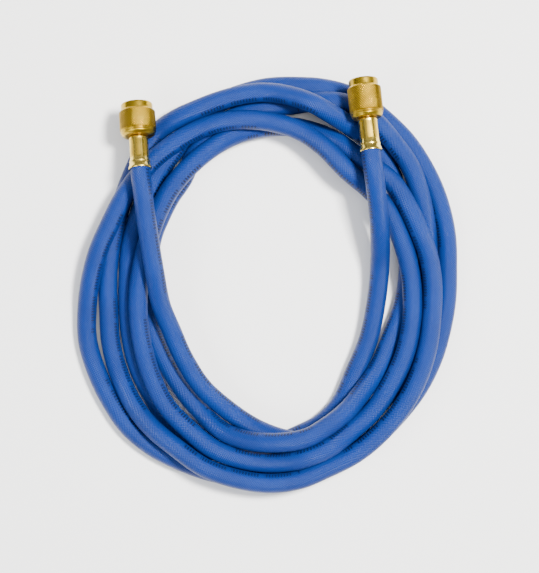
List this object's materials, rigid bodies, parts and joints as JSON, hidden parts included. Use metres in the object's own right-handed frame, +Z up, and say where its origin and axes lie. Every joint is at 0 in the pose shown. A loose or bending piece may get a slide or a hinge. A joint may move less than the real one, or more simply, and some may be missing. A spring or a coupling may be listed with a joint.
{
  "type": "refrigerant charging hose",
  "caption": "Flexible blue rubber charging hose, coiled loosely and lying flat, with a crimped brass coupling and a swivelling knurled nut on each end.",
  "frame": {"origin": "on the floor, under the middle of the coil's box", "axes": "+X to the right in the picture, +Y away from the viewer, the way that both couplings' open ends point, +Z up from the floor that the coil lies on"},
  "size_m": [0.2321, 0.2529, 0.0459],
  "materials": {
    "hose_rubber": "satin extruded rubber cover with a fine woven mark",
    "sleeve_brass": "bright, crimped in long flats",
    "nipple_brass": "fine turned",
    "nut_brass": "darker, with a fine diamond knurl and a bright lip",
    "seal_rubber": "matt black moulded rubber"
  },
  "bodies": {
    "hose_body": {"hose": "hose_rubber", "left_crimp_sleeve": "sleeve_brass", "left_nipple": "nipple_brass", "left_seal": "seal_rubber", "right_crimp_sleeve": "sleeve_brass", "right_nipple": "nipple_brass", "right_seal": "seal_rubber"},
    "left_nut": {"left_swivel_nut": "nut_brass"},
    "right_nut": {"right_swivel_nut": "nut_brass"}
  },
  "joints": [
    {"name": "left_nut_swivel", "type": "hinge", "parent": "hose_body", "child": "left_nut", "pos_m": [-0.0759, 0.0686, 0.0325], "axis": [-0.0711, 0.9677, -0.2419], "continuous": true},
    {"name": "right_nut_swivel", "type": "hinge", "parent": "hose_body", "child": "right_nut", "pos_m": [0.0618, 0.0788, 0.0389], "axis": [-0.0995, 0.9798, -0.1736], "continuous": true}
  ]
}
